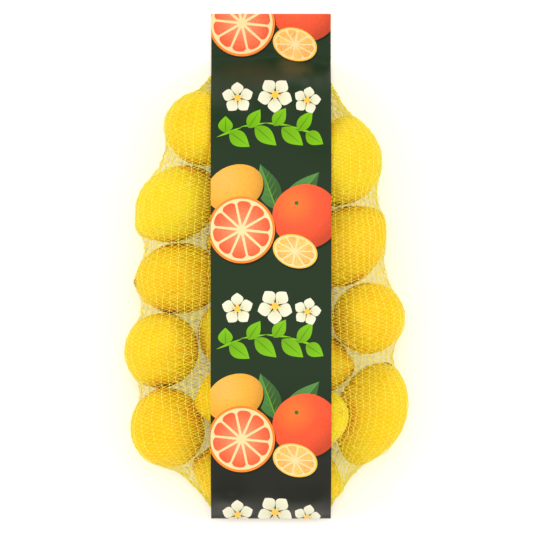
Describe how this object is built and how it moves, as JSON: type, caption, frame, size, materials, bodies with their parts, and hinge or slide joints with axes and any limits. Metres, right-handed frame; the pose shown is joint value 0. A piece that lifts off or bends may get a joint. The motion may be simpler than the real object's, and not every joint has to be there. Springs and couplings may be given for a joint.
{
  "type": "net bag of lemons",
  "caption": "Net bag of lemons lying on its back: a knitted yellow tube pulled tight over the fruit between a printed front film band and a plain back one.",
  "frame": {"origin": "on the table under the middle of the pack's box", "axes": "+X to the right of the printed front, +Y up the band towards the header, +Z out of the printed front"},
  "size_m": [0.2134, 0.38, 0.0823],
  "materials": {
    "net": "knitted yellow polyethylene net, slightly translucent, soft sheen",
    "lemon_peel": "fresh lemon peel, fine pores, soft waxy sheen",
    "printed_film": "dark green printed film with citrus pictures, satin gloss",
    "plain_film": "plain dark green film, satin gloss"
  },
  "bodies": {
    "root": {"filled_net": "net", "front_band": "printed_film", "back_band": "plain_film"}
  },
  "joints": []
}
